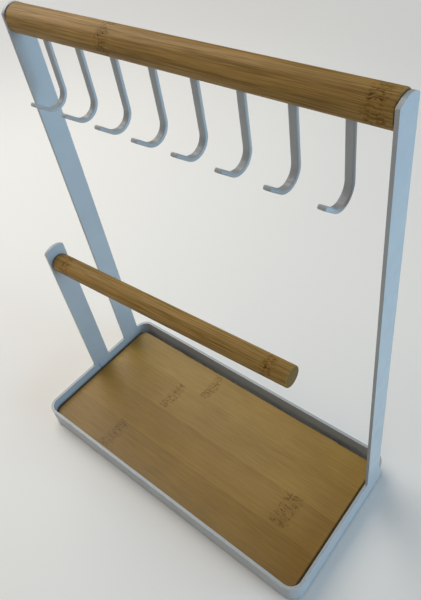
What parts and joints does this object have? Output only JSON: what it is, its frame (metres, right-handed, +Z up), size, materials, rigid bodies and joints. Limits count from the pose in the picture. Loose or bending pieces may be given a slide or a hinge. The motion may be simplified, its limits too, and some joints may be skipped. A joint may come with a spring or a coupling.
{
  "type": "mug tree",
  "caption": "Steel-strip stand with a bamboo hook bar over a shallow tray, a cantilevered bamboo rod and a lift-out bamboo board.",
  "frame": {"origin": "on the table, under the centre of the tray", "axes": "+X along the hook bar from left to right, +Y to the back, +Z up"},
  "size_m": [0.25, 0.117, 0.3083],
  "materials": {
    "white_paint": "satin powder coat",
    "bamboo": "satin, sealed bamboo",
    "bamboo_board": "satin, sealed bamboo",
    "zinc": "zinc plated",
    "clear_rubber": "translucent, matt"
  },
  "bodies": {
    "frame": {"rim_band": "white_paint", "left_upright": "white_paint", "right_upright": "white_paint", "rod_arm": "white_paint", "left_bar_pin": "white_paint", "right_bar_pin": "white_paint", "left_strap": "white_paint", "right_strap": "white_paint", "hook_1": "white_paint", "hook_2": "white_paint", "hook_3": "white_paint", "hook_4": "white_paint", "hook_5": "white_paint", "hook_6": "white_paint", "hook_7": "white_paint", "hook_8": "white_paint", "top_bar": "bamboo", "hanging_rod": "bamboo", "rod_screw": "zinc", "front_left_foot": "clear_rubber", "back_left_foot": "clear_rubber", "front_right_foot": "clear_rubber", "back_right_foot": "clear_rubber"},
    "board": {"board": "bamboo_board"}
  },
  "joints": [
    {"name": "board_lift", "type": "slide", "parent": "frame", "child": "board", "axis": [0, 0, 1], "range_m": [0, 0.05]}
  ]
}
